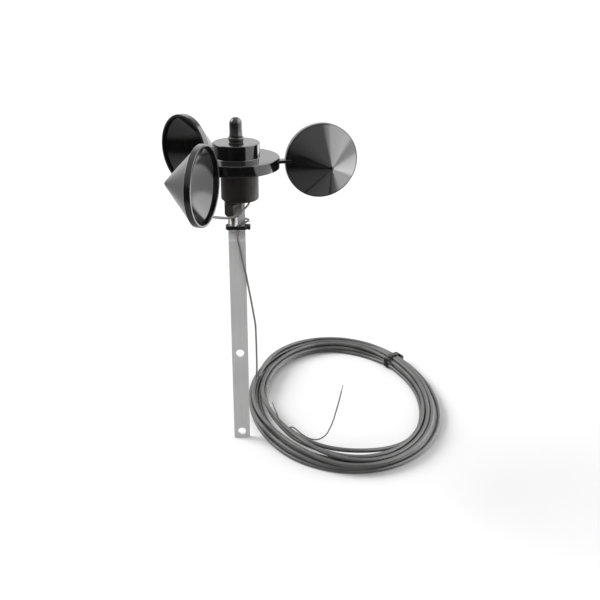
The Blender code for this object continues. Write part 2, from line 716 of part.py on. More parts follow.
def build_ties(material):
    half = TIE_THICKNESS / 2
    left = STRIP_X - STRIP_WIDTH / 2 - GAP - half
    right = STRIP_X + STRIP_WIDTH / 2 + GAP + half
    back = SET_BACK + STRIP_THICKNESS / 2 + GAP + half
    front = 1.1 * MM - half
    corners = [(left, front), (right, front), (right, back), (left, back)]
    reach, length, depth = BRACKET_TIE_HEAD
    head_low = (right - TIE_HEAD_SINK, front - length / 3, -depth / 2)
    head_high = (right + reach, front + length * 2 / 3, depth / 2)
    tie = build_tie("bracket_cable_tie", corners, BRACKET_TIE_WIDTH, head_low, head_high, material)
    tie.location.z = TIE_HEIGHT

    width = TURNS_PER_LAYER * COIL_PITCH / 2 + CABLE_RADIUS + 1.2 * MM
    bottom = half
    top = TIE_THICKNESS + 2 * GAP + half + (COIL_LAYERS - 1) * COIL_PITCH + 2 * CABLE_RADIUS
    corners = [(-width, bottom), (width, bottom), (width, top), (-width, top)]
    middle = (bottom + top) / 2
    reach, length, depth = COIL_TIE_HEAD
    head_low = (width - TIE_HEAD_SINK, middle - length / 2, -depth / 2)
    head_high = (width + reach, middle + length / 2, depth / 2)
    tie = build_tie("coil_cable_tie", corners, COIL_TIE_WIDTH, head_low, head_high, material)
    x = COIL_X + COIL_HALF_X * math.cos(COIL_TIE_ANGLE)
    y = COIL_Y + COIL_HALF_Y * math.sin(COIL_TIE_ANGLE)
    outward = Vector((COIL_HALF_Y * math.cos(COIL_TIE_ANGLE), COIL_HALF_X * math.sin(COIL_TIE_ANGLE), 0.0))
    outward.normalize()
    up = Vector((0.0, 0.0, 1.0))
    frame = Matrix((outward, up, outward.cross(up))).transposed()
    tie.matrix_world = Matrix.Translation((x, y, 0.0)) @ frame.to_4x4()


def build_materials():
    table = {
        "rotor_plastic": ((0.02, 0.02, 0.02), 0.18, 0.0),
        "housing_plastic": ((0.018, 0.016, 0.015), 0.5, 0.0),
        "bush_plastic": ((0.75, 0.74, 0.7), 0.45, 0.0),
        "stainless": ((0.6, 0.6, 0.6), 0.3, 1.0),
        "black_steel": ((0.03, 0.03, 0.03), 0.35, 0.6),
        "vinyl": ((0.015, 0.015, 0.015), 0.35, 0.0),
        "aluminium": ((0.62, 0.62, 0.62), 0.35, 1.0),
        "magnet": ((0.55, 0.55, 0.56), 0.25, 1.0),
        "glass": ((0.6, 0.75, 0.68), 0.05, 0.0),
        "copper": ((0.7, 0.62, 0.5), 0.3, 1.0),
        "potting": ((0.03, 0.03, 0.03), 0.4, 0.0),
        "lead_jacket": ((0.2, 0.19, 0.18), 0.5, 0.0),
        "cable_jacket": ((0.16, 0.16, 0.16), 0.45, 0.0),
        "heat_shrink": ((0.02, 0.02, 0.02), 0.5, 0.0),
        "tinned_wire": ((0.35, 0.35, 0.35), 0.35, 1.0),
        "tie_nylon": ((0.012, 0.012, 0.012), 0.4, 0.0),
    }
    return {name: make_material(name, *values) for name, values in table.items()}


def main():
    global parts, cutters
    clear_scene()
    parts = new_collection("cup_anemometer")
    cutters = new_collection("cutters")
    materials = build_materials()
    build_rotor(materials)
    build_axle(materials)
    build_housing(materials)
    build_sensor(materials)
    build_bracket(materials["aluminium"])
    build_fasteners(materials)
    build_lead(materials["lead_jacket"])
    build_cable(materials)
    build_ties(materials["tie_nylon"])


main()
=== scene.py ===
"""Looks for the cup anemometer: fine surfaces, materials, floor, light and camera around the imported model.

Sizes are in metres. The rotor axis is +Z, the floor is z = 0, and the coil of cable lies at +X. The
housing, bracket, axle, bushes, washers, magnet, reed switch and plug are shown as packed.
"""

import json
import math

import bmesh
import bpy
import numpy as np
from mathutils import Matrix, Vector

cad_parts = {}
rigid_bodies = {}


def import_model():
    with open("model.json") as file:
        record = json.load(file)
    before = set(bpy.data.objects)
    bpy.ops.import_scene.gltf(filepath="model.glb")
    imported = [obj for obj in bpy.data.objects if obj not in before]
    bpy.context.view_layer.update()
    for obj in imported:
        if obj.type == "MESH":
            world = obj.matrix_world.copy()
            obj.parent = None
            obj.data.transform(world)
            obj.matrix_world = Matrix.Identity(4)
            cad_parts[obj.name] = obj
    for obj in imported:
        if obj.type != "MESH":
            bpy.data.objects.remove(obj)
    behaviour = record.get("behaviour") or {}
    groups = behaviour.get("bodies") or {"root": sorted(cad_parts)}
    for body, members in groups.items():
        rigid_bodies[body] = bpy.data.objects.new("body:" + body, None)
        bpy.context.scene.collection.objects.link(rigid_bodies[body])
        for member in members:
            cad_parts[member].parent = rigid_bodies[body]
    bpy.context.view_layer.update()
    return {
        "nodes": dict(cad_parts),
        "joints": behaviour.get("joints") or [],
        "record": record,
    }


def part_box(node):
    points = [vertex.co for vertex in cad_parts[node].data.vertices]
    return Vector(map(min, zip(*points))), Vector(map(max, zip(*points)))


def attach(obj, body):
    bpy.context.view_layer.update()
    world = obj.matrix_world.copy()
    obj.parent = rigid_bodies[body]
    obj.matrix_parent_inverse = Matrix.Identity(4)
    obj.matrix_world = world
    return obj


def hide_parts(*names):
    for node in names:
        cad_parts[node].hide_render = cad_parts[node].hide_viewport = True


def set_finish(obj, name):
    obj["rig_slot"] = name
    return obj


MM = 0.001

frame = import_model()
nodes = frame["nodes"]
ROTOR_Z = frame["joints"][0]["pos_m"][2]

# Rotor
RING_RADIUS = 44.2 * MM
CUP_RADIUS = 19.3 * MM
CUP_DEPTH = 20.75 * MM
CUP_MOUTH = 18.0 * MM
CUP_SKIRT = 3.0 * MM
CUP_TIP_WALL = 1.3 * MM
CUP_FIRST_ANGLE = math.radians(10.75)
CUP_SEGMENTS = 128
ARM_LOW = (17.2 * MM, -5.3 * MM, 0.2 * MM)
ARM_HIGH = (30.3 * MM, -0.35 * MM, 1.8 * MM)
ARM_EDGE = 0.3 * MM
HUB_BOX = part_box("rotor_hub")
DISC_RADIUS = HUB_BOX[1].x
DISC_BOTTOM = HUB_BOX[0].z
HUB_TOP = HUB_BOX[1].z
DISC_TOP = ROTOR_Z + 4.05 * MM
HUB_RADIUS = 11.9 * MM
HUB_EDGE = 0.45 * MM
BUSH_SEAT = 3.5 * MM
SLOT_LOW = (16.7 * MM, -5.6 * MM, -0.1 * MM)
SLOT_HIGH = (DISC_RADIUS + 2 * MM, 0.0, 2.1 * MM)

# Studio, as glossy surfaces see it: a dim room with a dark band near the horizon, and bright panels.
# The band's level and edges are sines of the elevation. Each panel has its direction, the cosines at
# its edge and where it is full, and its added radiance.
ROOM = 0.55
DARK_LEVEL = -0.14
DARK_EDGES = (0.2, 0.5)
PANELS = (
    ((0.0, 0.2, 1.0), 0.1, 0.9, 0.7),
    ((0.0, 1.0, 0.12), 0.55, 0.93, 0.85),
    ((0.98, 0.05, 0.17), 0.62, 0.68, 2.8),
    ((0.785, -0.07, 0.616), 0.82, 0.92, 3.2),
    ((0.694, 0.583, -0.423), 0.88, 0.94, 2.0),
    ((-0.74, 0.65, -0.17), 0.8, 0.95, 0.5),
)
AMBIENT = 0.75
BACKDROP = 1.05

# Key lamp and floor
KEY_FROM = (-0.76, 0.26, 0.56)
KEY_STRENGTH = 3.0
KEY_WIDTH = 34.0
FLOOR_COLOUR = (0.82, 0.82, 0.82)
FLOOR_SIZE = 30.0

# Camera: place in metres, yaw, pitch and roll in degrees, lens and sensor in millimetres
CAMERA_PLACE = (0.0, -0.4188, 0.2635)
CAMERA_TURNS = (4.449, 22.934, -0.26)
CAMERA_LENS = 50.11
CAMERA_SENSOR = 36.0

# Cable
CABLE_RADIUS = 1.25 * MM
LEAD_RADIUS = 0.55 * MM
SLEEVE_RADIUS = 1.6 * MM
CONDUCTOR_RADIUS = 0.4 * MM
BARE_RADIUS = CONDUCTOR_RADIUS * 0.6
COIL_CENTRE = Vector((62.0, 35.5, 0.0)) * MM
COIL_HALF = (53.5 * MM, 74.5 * MM)
COIL_START = math.radians(160.0)
COIL_TURNS = 9.836
END_TURNS = 0.336
LAYERS = 3
TURNS_PER_LAYER = 3.0
LAYER_CHANGE = 0.25
STRAND_PITCH = 2.56 * MM
LAYER_PITCH = 2.3 * MM
WANDER = 0.6 * MM
COIL_SEED = 5
LEAVING_SHIFT = 2.9 * MM
LEAVING_LIFT = 4.6 * MM
TIE_LIFT = 1.3 * MM
START_PLACE = (-0.84 * MM, 11.45 * MM)
END_PLACE = (-6.65 * MM, 9.0 * MM)
START_EASE = 0.14
END_EASE = 0.12
POINTS_PER_TURN = 120
TIE_ANGLE = 40.0

# Settling of the coil: the number of steps, and the share by which, in a step, a strand goes back to
# its aim, pushes a strand that is nearer than a cable's width times the clearance, and is evened out
SETTLING_STEPS = 160
PULL = 0.04
PUSH = 0.35
EASE = 0.4
CLEARANCE = 1.005
HELD_POINTS = 5

# Stretches of the bundle, by angle and width in degrees: piled up at the front left, fanned out at
# the right, and squeezed by the tie
PILED = (-138.0, 34.0)
SPREAD = (-32.0, 26.0)
TIED = (TIE_ANGLE - 18.0, 40.0)

# Single strands that stand out: turn, width in turns, and shift across the coil and upwards
STRAYS = (
    (3.43, 0.03, 1.6 * MM, 0.0),
    (1.80, 0.09, 0.0, 3.2 * MM),
    (1.88, 0.07, -3.6 * MM, 0.0),
)


# ---------------------------------------------------------------- mesh helpers


def new_object(name, mesh, body, slot, replaces):
    """Adds a mesh that rides a body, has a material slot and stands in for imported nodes."""
    obj = bpy.data.objects.new(name, mesh)
    bpy.context.scene.collection.objects.link(obj)
    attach(obj, body)
    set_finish(obj, slot)
    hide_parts(*replaces)


def shade_smooth(mesh, angle=35.0):
    """Smooth shading, apart from edges sharper than an angle in degrees."""
    mesh.shade_smooth()
    mesh.set_sharp_from_angle(angle=math.radians(angle))


def revolved_mesh(name, profile, segments, closed=False):
    """Turns a profile of (radius, z) about Z. The profile runs down its outer side."""
    bm = bmesh.new()
    rings = []
    for radius, z in profile:
        if radius < 1e-7:
            rings.append([bm.verts.new((0.0, 0.0, z))] * segments)
            continue
        ring = []
        for k in range(segments):
            angle = 2 * math.pi * k / segments
            ring.append(bm.verts.new((radius * math.cos(angle), radius * math.sin(angle), z)))
        rings.append(ring)
    pairs = list(zip(rings, rings[1:]))
    if closed:
        pairs.append((rings[-1], rings[0]))
    for upper, lower in pairs:
        for k in range(segments):
            after = (k + 1) % segments
            corners = [upper[k], lower[k], lower[after], upper[after]]
            unique = list(dict.fromkeys(corners))
            if len(unique) > 2:
                bm.faces.new(unique)
    bmesh.ops.recalc_face_normals(bm, faces=bm.faces)
    mesh = bpy.data.meshes.new(name)
    bm.to_mesh(mesh)
    bm.free()
    shade_smooth(mesh)
    return mesh


def rounded(points, radii, segments=4, loop=False):
    """A 2D outline whose corners are replaced by arcs; a radius of 0 keeps the corner."""
    result = []
    count = len(points)
    for i, point in enumerate(points):
        radius = radii if isinstance(radii, float) else radii[i]
        here = Vector(point)
        if radius <= 0 or (not loop and i in (0, count - 1)):
            result.append(tuple(here))
            continue
        back = (Vector(points[i - 1]) - here).normalized()
        ahead = (Vector(points[(i + 1) % count]) - here).normalized()
        half_angle = back.angle(ahead) / 2
        centre = here + (back + ahead).normalized() * (radius / math.sin(half_angle))
        first = here + back * (radius / math.tan(half_angle)) - centre
        last = here + ahead * (radius / math.tan(half_angle)) - centre
        sweep = first.angle_signed(last)
        for step in range(segments + 1):
            result.append(tuple(centre + Matrix.Rotation(-sweep * step / segments, 2) @ first))
    return result


def smooth_path(points, divisions):
    """A Catmull-Rom curve through the points, as an array."""
    knots = [Vector(p) for p in points]
    knots = [2 * knots[0] - knots[1], *knots, 2 * knots[-1] - knots[-2]]
    path = []
    for before, start, end, after in zip(knots, knots[1:], knots[2:], knots[3:]):
        for i in range(divisions):
            t = i / divisions
            a = 2 * start + (end - before) * t
            b = (2 * before - 5 * start + 4 * end - after) * t**2
            c = (3 * start - before - 3 * end + after) * t**3
            path.append(0.5 * (a + b + c))
    path.append(knots[-2])
    return np.array([tuple(p) for p in path])


def tube_mesh(name, path, radius, sides=14, edge=0.15):
    """A closed tube along a path, with softened ends, and UVs in metres along and around it.

    The radius is one number, or one for each point of the path.
    """
    path = [Vector(p) for p in path]
    radii = [radius] * len(path) if isinstance(radius, float) else list(radius)
    radius = radii[0]
    first = (path[0] - path[1]).normalized()
    last = (path[-1] - path[-2]).normalized()
    stations = [(path[0], radius * (1 - edge)), (path[0] - first * radius * edge, radius)]
    stations += list(zip(path[1:-1], radii[1:-1]))
    stations += [(path[-1] - last * radius * edge, radii[-1]), (path[-1], radii[-1] * (1 - edge))]
    centres = [s[0] for s in stations]
    bm = bmesh.new()
    layer = bm.loops.layers.uv.new("length")
    normal = first.orthogonal().normalized()
    rings, lengths, travelled = [], [], 0.0
    for i, (centre, r) in enumerate(stations):
        ahead = centres[min(i + 1, len(centres) - 1)] - centres[max(i - 1, 0)]
        ahead.normalize()
        normal = (normal - ahead * normal.dot(ahead)).normalized()
        side = ahead.cross(normal)
        if i:
            travelled += (centre - centres[i - 1]).length
        lengths.append(travelled)
        ring = []
        for k in range(sides):
            angle = 2 * math.pi * k / sides
            ring.append(bm.verts.new(centre + (normal * math.cos(angle) + side * math.sin(angle)) * r))
        rings.append(ring)
    for i in range(len(rings) - 1):
        for k in range(sides):
            after = (k + 1) % sides
            face = bm.faces.new((rings[i][k], rings[i][after], rings[i + 1][after], rings[i + 1][k]))
            around = (k / sides, (k + 1) / sides, (k + 1) / sides, k / sides)
            along = (lengths[i], lengths[i], lengths[i + 1], lengths[i + 1])
            for loop, u, v in zip(face.loops, along, around):
                loop[layer].uv = (u, v * 2 * math.pi * radius)
    bm.faces.new(list(reversed(rings[0])))
    bm.faces.new(rings[-1])
    bmesh.ops.recalc_face_normals(bm, faces=bm.faces)
    mesh = bpy.data.meshes.new(name)
    bm.to_mesh(mesh)
    bm.free()
    shade_smooth(mesh, 50.0)
    return mesh


def block_mesh(name, low, high, bevel, segments=3):
    """A box between two corners with rounded edges."""
    centre = (Vector(low) + Vector(high)) / 2
    size = Vector(high) - Vector(low)
    bm = bmesh.new()
    bmesh.ops.create_cube(bm, size=1.0, matrix=Matrix.Translation(centre) @ Matrix.Diagonal((*size, 1.0)))
    if bevel:
        bmesh.ops.bevel(bm, geom=list(bm.edges), offset=bevel, segments=segments, profile=0.5, affect="EDGES")
    mesh = bpy.data.meshes.new(name)
    bm.to_mesh(mesh)
    bm.free()
    return mesh


def band_mesh(name, loop, width, thickness, edge):
    """A closed strap: a rounded oblong section carried round a loop of (x, y), with its width along Z."""
    u, v = thickness / 2, width / 2
    section = rounded([(-u, -v), (u, -v), (u, v), (-u, v)], edge, 3, loop=True)
    bm = bmesh.new()
    rings = []
    count = len(loop)
    for i in range(count):
        ahead = (Vector(loop[(i + 1) % count]) - Vector(loop[i - 1])).normalized()
        outward = Vector((ahead.y, -ahead.x))
        ring = []
        for across, along in section:
            place = Vector(loop[i]) + outward * across
            ring.append(bm.verts.new((place.x, place.y, along)))
        rings.append(ring)
    for i in range(count):
        first, second = rings[i], rings[(i + 1) % count]
        for k in range(len(section)):
            after = (k + 1) % len(section)
            bm.faces.new((first[k], first[after], second[after], second[k]))
    bmesh.ops.recalc_face_normals(bm, faces=bm.faces)
    mesh = bpy.data.meshes.new(name)
    bm.to_mesh(mesh)
    bm.free()
    shade_smooth(mesh, 40.0)
    return mesh


def combined(mesh, tools, name):
    """Applies Booleans to a mesh: tools is a list of (operation, mesh)."""
    base = bpy.data.objects.new(name, mesh)
    bpy.context.scene.collection.objects.link(base)
    helpers = [base]
    for operation, tool in tools:
        helper = bpy.data.objects.new("tool", tool)
        bpy.context.scene.collection.objects.link(helper)
        helpers.append(helper)
        modifier = base.modifiers.new("Boolean", "BOOLEAN")
        modifier.operation = operation
        modifier.solver = "EXACT"
        modifier.object = helper
    bpy.context.view_layer.update()
    result = bpy.data.meshes.new_from_object(base.evaluated_get(bpy.context.evaluated_depsgraph_get()))
    result.name = name
    for helper in helpers:
        bpy.data.objects.remove(helper, do_unlink=True)
    shade_smooth(result)
    return result


# ---------------------------------------------------------------- materials


def new_material(name, colour, roughness, metallic=0.0, **inputs):
    """A material, its node tree and its shader; other inputs are named with _ for a space."""
    material = bpy.data.materials.new(name)
    material.use_nodes = True
    shader = material.node_tree.nodes["Principled BSDF"]
    shader.inputs["Base Color"].default_value = (*colour, 1.0)
    shader.inputs["Roughness"].default_value = roughness
    shader.inputs["Metallic"].default_value = metallic
    for key, value in inputs.items():
        shader.inputs[key.replace("_", " ")].default_value = value
    return material, material.node_tree, shader


def noise(tree, scale, detail=3.0, stretch=(1.0, 1.0, 1.0), uv=False):
    """A noise pattern in the object's own space (metres), or along a cable's length with uv."""
    coords = tree.nodes.new("ShaderNodeTexCoord")
    mapping = tree.nodes.new("ShaderNodeMapping")
    mapping.inputs["Scale"].default_value = stretch
    tree.links.new(coords.outputs["UV" if uv else "Object"], mapping.inputs["Vector"])
    texture = tree.nodes.new("ShaderNodeTexNoise")
    texture.inputs["Scale"].default_value = scale
    texture.inputs["Detail"].default_value = detail
    tree.links.new(mapping.outputs["Vector"], texture.inputs["Vector"])
    return texture.outputs["Fac"]


def ranged(tree, value, low, high, start=0.3, stop=0.7):
    """Maps a value from start to stop onto low to high."""
    node = tree.nodes.new("ShaderNodeMapRange")
    tree.links.new(value, node.inputs["Value"])
    for key, number in (("From Min", start), ("From Max", stop), ("To Min", low), ("To Max", high)):
        node.inputs[key].default_value = number
    return node.outputs["Result"]


def blended(tree, factor, first, second):
    """A colour between two, by a factor."""
    node = tree.nodes.new("ShaderNodeMix")
    node.data_type = "RGBA"
    tree.links.new(factor, node.inputs["Factor"])
    node.inputs["A"].default_value = (*first, 1.0)
    node.inputs["B"].default_value = (*second, 1.0)
    return node.outputs["Result"]


def add_bump(tree, shader, height, distance, strength):
    """Adds a bump, in metres, on top of those that the shader has."""
    node = tree.nodes.new("ShaderNodeBump")
    node.inputs["Distance"].default_value = distance
    node.inputs["Strength"].default_value = strength
    tree.links.new(height, node.inputs["Height"])
    if shader.inputs["Normal"].is_linked:
        tree.links.new(shader.inputs["Normal"].links[0].from_socket, node.inputs["Normal"])
    tree.links.new(node.outputs["Normal"], shader.inputs["Normal"])


def drive(tree, shader, key, value):
    """Links a value to one of the shader's inputs."""
    tree.links.new(value, shader.inputs[key])


def rotor_plastic():
    """Glossy black moulding: faint flow marks, handling scuffs and specks of dust."""
    black, dusty = (0.006, 0.0065, 0.006), (0.04, 0.04, 0.037)
    material, tree, shader = new_material("rotor_plastic", black, 0.12, IOR=1.5)
    scuffs = noise(tree, 260.0, 6.0, (1.0, 1.0, 3.0))
    drive(tree, shader, "Roughness", ranged(tree, scuffs, 0.06, 0.17))
    dust = noise(tree, 1900.0, 2.0)
    specks = ranged(tree, dust, 0.0, 1.0, 0.68, 0.8)
    drive(tree, shader, "Base Color", blended(tree, specks, black, dusty))
    add_bump(tree, shader, noise(tree, 55.0, 2.0), 0.00018, 0.35)
    add_bump(tree, shader, noise(tree, 900.0, 3.0), 0.00002, 0.3)
    return material


def housing_plastic():
    """Turned black plastic: fine tool marks round the side, and a warm matt surface."""
    dark, light = (0.010, 0.0085, 0.0075), (0.018, 0.015, 0.013)
    material, tree, shader = new_material("housing_plastic", dark, 0.5, Specular_IOR_Level=0.22)
    marks = noise(tree, 5200.0, 2.0, (0.02, 0.02, 1.0))
    patches = noise(tree, 180.0, 4.0)
    drive(tree, shader, "Roughness", ranged(tree, patches, 0.42, 0.6))
    drive(tree, shader, "Base Color", blended(tree, ranged(tree, patches, 0.0, 1.0), dark, light))
    add_bump(tree, shader, marks, 0.00003, 0.5)
    return material


def speckled(name, first, second, roughness, scale=400.0, span=0.08, bump=0.00002, **inputs):
    """A plain finish with a little mottling in colour, gloss and level."""
    material, tree, shader = new_material(name, first, roughness, **inputs)
    mottle = noise(tree, scale, 4.0)
    drive(tree, shader, "Base Color", blended(tree, ranged(tree, mottle, 0.0, 1.0), first, second))
    drive(tree, shader, "Roughness", ranged(tree, mottle, roughness - span, roughness + span))
    add_bump(tree, shader, noise(tree, scale * 3.0, 3.0), bump, 0.4)
    return material


def aluminium():
    """Mill finish strip: long fine rolling lines, cloudy patches and a few scratches."""
    dark, light = (0.50, 0.50, 0.505), (0.655, 0.655, 0.645)
    material, tree, shader = new_material("aluminium", dark, 0.36, 0.3)
    rolling = noise(tree, 2600.0, 3.0, (1.0, 1.0, 0.012))
    clouds = noise(tree, 70.0, 4.0, (1.0, 1.0, 0.5))
    scratches = noise(tree, 900.0, 1.0, (1.0, 0.6, 0.08))
    mixed = tree.nodes.new("ShaderNodeMath")
    mixed.operation = "ADD"
    tree.links.new(ranged(tree, rolling, 0.0, 0.45), mixed.inputs[0])
    tree.links.new(ranged(tree, clouds, 0.0, 0.55), mixed.inputs[1])
    drive(tree, shader, "Base Color", blended(tree, mixed.outputs["Value"], dark, light))
    drive(tree, shader, "Roughness", ranged(tree, rolling, 0.30, 0.46))
    add_bump(tree, shader, rolling, 0.00001, 0.5)
    add_bump(tree, shader, ranged(tree, scratches, 0.0, 1.0, 0.70, 0.74), 0.00002, 0.4)
    return material


def turned_metal(name, colour, roughness, stretch=(0.05, 0.05, 1.0)):
    """Ground or turned metal with fine lines round the axis."""
    material, tree, shader = new_material(name, colour, roughness, 1.0)
    lines = noise(tree, 4200.0, 2.0, stretch)
    drive(tree, shader, "Roughness", ranged(tree, lines, roughness - 0.08, roughness + 0.1))
    stains = noise(tree, 500.0, 3.0)
    dull = tuple(value * 0.6 for value in colour)
    drive(tree, shader, "Base Color", blended(tree, ranged(tree, stains, 0.0, 1.0, 0.45, 0.85), colour, dull))
    add_bump(tree, shader, lines, 0.000008, 0.5)
    return material


def cable_jacket():
    """Grey vinyl cable: soft sheen, faint extrusion lines along its length and rubbed lighter patches."""
    dark, light = (0.055, 0.055, 0.055), (0.088, 0.088, 0.086)
    material, tree, shader = new_material("cable_jacket", dark, 0.42)
    rubbed = noise(tree, 90.0, 4.0)
    drive(tree, shader, "Base Color", blended(tree, ranged(tree, rubbed, 0.0, 1.0), dark, light))
    drive(tree, shader, "Roughness", ranged(tree, noise(tree, 700.0, 3.0), 0.36, 0.52))
    lines = noise(tree, 1800.0, 2.0, (0.01, 1.0, 1.0), uv=True)
    add_bump(tree, shader, lines, 0.00002, 0.5)
    add_bump(tree, shader, noise(tree, 1500.0, 3.0), 0.00002, 0.35)
    return material


def glass():
    """Faintly green glass of the reed switch."""
    green = (0.75, 0.88, 0.82)
    material, tree, shader = new_material("glass", green, 0.05, Transmission_Weight=0.85, IOR=1.5)
    drive(tree, shader, "Roughness", ranged(tree, noise(tree, 1500.0, 2.0), 0.03, 0.12))
    return material


# Mottled finishes: two colours and roughness, then noise scale, roughness span and bump where they differ
MOTTLED = {
    "bush_plastic": ((0.74, 0.73, 0.69), (0.66, 0.65, 0.60), 0.4),
    "black_steel": ((0.014, 0.013, 0.012), (0.03, 0.026, 0.022), 0.38, 900.0),
    "vinyl": ((0.010, 0.010, 0.010), (0.017, 0.017, 0.017), 0.3, 350.0, 0.06),
    "potting": ((0.022, 0.02, 0.019), (0.03, 0.028, 0.026), 0.3, 700.0),
    "lead_jacket": ((0.10, 0.093, 0.083), (0.16, 0.15, 0.13), 0.4, 600.0),
    "heat_shrink": ((0.02, 0.02, 0.02), (0.032, 0.031, 0.03), 0.5, 500.0, 0.08, 0.00006),
    "tinned_wire": ((0.07, 0.068, 0.065), (0.12, 0.115, 0.11), 0.4, 900.0),
}

# Bare metals: colour, roughness, and even stains in place of lines round the axis
TURNED = {
    "magnet": ((0.58, 0.57, 0.55), 0.22, (1.0, 1.0, 1.0)),
    "stainless": ((0.36, 0.35, 0.335), 0.34),
    "copper": ((0.68, 0.60, 0.50), 0.3, (1.0, 1.0, 1.0)),
}


def tie_nylon():
    """Matt black nylon of the cable ties."""
    dark, light = (0.006, 0.006, 0.006), (0.011, 0.011, 0.011)
    return speckled("tie_nylon", dark, light, 0.42, 1200.0, Specular_IOR_Level=0.3)


# Finishes with a function each
OWN_MATERIALS = {
    "rotor_plastic": rotor_plastic,
    "housing_plastic": housing_plastic,
    "glass": glass,
    "aluminium": aluminium,
    "tie_nylon": tie_nylon,
    "cable_jacket": cable_jacket,
}


def make_material(slot):
    """Builds a slot's material."""
    if slot in MOTTLED:
        return speckled(slot, *MOTTLED[slot])
    if slot in TURNED:
        return turned_metal(slot, *TURNED[slot])
    return OWN_MATERIALS[slot]()


# ---------------------------------------------------------------- rotor pieces


def cup_angle(i):
    """Where a cup's arm stands round the axis."""
    return CUP_FIRST_ANGLE + i * 2 * math.pi / 3


def make_hub():
    """The flat disc and the shorter cylinder on it, with a slot for each arm."""
    outline = [
        (BUSH_SEAT, HUB_TOP),
        (HUB_RADIUS, HUB_TOP),
        (HUB_RADIUS, DISC_TOP),
        (DISC_RADIUS, DISC_TOP),
        (DISC_RADIUS, DISC_BOTTOM),
        (BUSH_SEAT, DISC_BOTTOM),
    ]
    radii = [0.0, HUB_EDGE, HUB_EDGE * 0.8, HUB_EDGE, HUB_EDGE, 0.0]
    mesh = revolved_mesh("rotor_hub_fine", rounded(outline, radii, 4), 160, closed=True)
    cuts = []
    for i in range(3):
        slot = block_mesh("slot", SLOT_LOW, SLOT_HIGH, 0.0)
        slot.transform(Matrix.Translation((0, 0, ROTOR_Z)) @ Matrix.Rotation(cup_angle(i), 4, "Z"))
        cuts.append(("DIFFERENCE", slot))
    mesh = combined(mesh, cuts, "rotor_hub_fine")
    new_object("hub_shell", mesh, "rotor", "rotor_plastic", ["rotor_hub"])


def cup_mesh():
    """A thin cone with a rounded tip, a straight band at its rim and a flat arm.

    Its centre is on +X and its mouth faces +Y.
    """
    step = 0.7 * MM
    seat = 0.3 * MM - CUP_SKIRT
    inside_tip = CUP_TIP_WALL - CUP_DEPTH
    near_tip = (1.6 * MM, 1.2 * MM - CUP_DEPTH)
    outline = [
        (0.0, inside_tip),
        (CUP_MOUTH, seat),
        (CUP_MOUTH, 0.0),
        (CUP_RADIUS, 0.0),
        (CUP_RADIUS, -CUP_SKIRT),
        (CUP_RADIUS - step, -CUP_SKIRT - step / 2),
        near_tip,
        (0.0, -CUP_DEPTH),
    ]
    radii = [0.0, 0.7 * MM, 0.3 * MM, 0.4 * MM, 0.25 * MM, 0.3 * MM, 1.1 * MM, 0.0]
    cone = revolved_mesh("cone", rounded(outline, radii, 5), CUP_SEGMENTS)
    place = Matrix.Translation((RING_RADIUS, 0.0, 0.0)) @ Matrix.Rotation(-math.pi / 2, 4, "X")
    cone.transform(place)
    arm = block_mesh("arm", ARM_LOW, ARM_HIGH, ARM_EDGE)
    past_rim = 0.5 * MM
    inner = [(0.0, past_rim), (CUP_MOUTH, past_rim), (CUP_MOUTH, seat), (0.0, inside_tip)]
    hollow = revolved_mesh("hollow", inner, CUP_SEGMENTS)
    hollow.transform(place)
    arm = combined(arm, [("DIFFERENCE", hollow)], "arm_trimmed")
    return combined(cone, [("UNION", arm)], "cup_fine")


def make_cups():
    """Three equal cups, a third of a turn apart."""
    mesh = cup_mesh()
    for i, letter in enumerate("abc"):
        own = mesh.copy()
        own.transform(Matrix.Translation((0, 0, ROTOR_Z)) @ Matrix.Rotation(cup_angle(i), 4, "Z"))
        new_object(f"cup_{letter}_shell", own, "rotor", "rotor_plastic", [f"cup_{letter}"])


# ---------------------------------------------------------------- axle cap and collar


def make_cap():
    """A round-topped rubber cap with a small lip at its foot, hollow where the axle's end sits."""
    low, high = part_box("end_cap")
    radius = high.x
    top, bottom = high.z, low.z
    inside = 2.2 * MM
    roof = top - 2.2 * MM
    lip = radius + 0.12 * MM
    profile = []
    steps = 14
    for i in range(steps + 1):
        angle = math.pi / 2 * (1 - i / steps)
        profile.append((radius * math.cos(angle), top - radius * (1 - math.sin(angle))))
    profile[0] = (0.0, top)
    profile += [(radius, bottom + 1.0 * MM), (lip, bottom + 0.8 * MM), (lip, bottom + 0.15 * MM)]
    profile += [(radius, bottom), (inside, bottom), (inside, roof), (0.0, roof)]
    mesh = revolved_mesh("cap_fine", profile, 64)
    new_object("cap_shell", mesh, "base", "vinyl", ["end_cap"])


def make_collar():
    """A plain ring with rounded outer edges, under the cap."""
    low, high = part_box("retaining_collar")
    radius = high.x
    inside = 2.1 * MM
    outline = [(inside, high.z), (radius, high.z), (radius, low.z), (inside, low.z)]
    edge = 0.4 * MM
    profile = rounded(outline, [0.0, edge, edge, 0.0], 4)
    mesh = revolved_mesh("collar_fine", profile, 64, closed=True)
    new_object("collar_body", mesh, "base", "black_steel", ["retaining_collar"])


# ---------------------------------------------------------------- stud and nut


